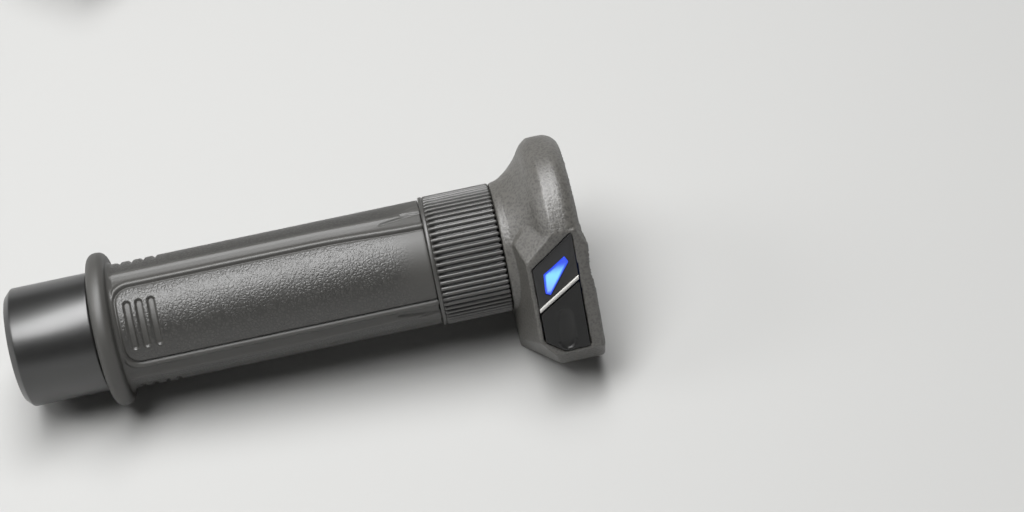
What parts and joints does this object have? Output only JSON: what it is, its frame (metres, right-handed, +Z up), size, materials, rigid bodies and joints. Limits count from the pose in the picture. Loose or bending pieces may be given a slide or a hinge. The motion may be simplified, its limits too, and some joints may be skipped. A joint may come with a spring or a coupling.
{
  "type": "pair of heated motorcycle grips",
  "caption": "Pair of heated handlebar grips with bar end weights: left grip with a lit control panel and push button, right grip on a turning throttle tube.",
  "frame": {"origin": "middle of the surface that the pair lies on, under the centre of its box", "axes": "+X from the left grip's outboard end towards its collar, +Y from the left grip towards the right grip, which points the other way, +Z up"},
  "size_m": [0.1776, 0.2396, 0.0547],
  "materials": {
    "bar_end_black": "black satin anodised aluminium",
    "bolt_black": "black oxide",
    "core_plastic": "moulded nylon",
    "tube_plastic": "moulded nylon",
    "heater_film": "amber film",
    "heater_copper": "etched copper",
    "sensor_bead": "epoxy bead",
    "grip_rubber": "grained charcoal rubber",
    "band_rubber": "ribbed rubber",
    "lead_insulation": "silicone insulation",
    "collar_skin": "fine-grained soft-touch moulding",
    "cover_plastic": "moulded nylon",
    "screw_steel": "zinc plated",
    "gland_rubber": "smooth rubber",
    "panel_gloss": "gloss black",
    "strip_silver": "satin silver",
    "window_blue": "lit blue window",
    "lamp_body": "small lamp",
    "button_black": "satin black",
    "plunger_plastic": "moulded plastic",
    "switch_body": "moulded plastic",
    "board_green": "solder resist",
    "socket_plastic": "moulded nylon"
  },
  "bodies": {
    "fixed": {"left_bar_end_bolt": "bolt_black", "left_bar_end_weight": "bar_end_black", "left_board_screws": "screw_steel", "left_cable_gland": "gland_rubber", "left_cable_socket": "socket_plastic", "left_circuit_board": "board_green", "left_collar_cover": "cover_plastic", "left_collar_shell": "collar_skin", "left_core_sleeve": "core_plastic", "left_cover_screws": "screw_steel", "left_grip_rubber": "grip_rubber", "left_heater_film": "heater_film", "left_heater_leads": "lead_insulation", "left_heater_track": "heater_copper", "left_light_window": "window_blue", "left_panel_fascia": "panel_gloss", "left_panel_strip": "strip_silver", "left_ribbed_band": "band_rubber", "left_status_lamp": "lamp_body", "left_tact_switch": "switch_body", "left_thermistor": "sensor_bead", "right_bar_end_bolt": "bolt_black", "right_bar_end_weight": "bar_end_black"},
    "push_button": {"left_push_button": "button_black", "left_switch_plunger": "plunger_plastic"},
    "throttle_grip": {"right_cable_gland": "gland_rubber", "right_collar_cover": "cover_plastic", "right_collar_shell": "collar_skin", "right_cover_screws": "screw_steel", "right_grip_rubber": "grip_rubber", "right_heater_film": "heater_film", "right_heater_leads": "lead_insulation", "right_heater_track": "heater_copper", "right_ribbed_band": "band_rubber", "right_terminal_block": "socket_plastic", "right_thermistor": "sensor_bead", "right_throttle_tube": "tube_plastic"}
  },
  "joints": [
    {"name": "button_press", "type": "slide", "parent": "fixed", "child": "push_button", "axis": [0.0232, 0.9041, -0.4267], "range_m": [0, 0.0005], "stiffness_N_per_m": 2000, "springref_m": -0.0005},
    {"name": "throttle_twist", "type": "hinge", "parent": "fixed", "child": "throttle_grip", "pos_m": [0.0001, 0.0925, 0.02418], "axis": [-0.9985, 0, 0.0543], "range_deg": [0, 75]}
  ]
}
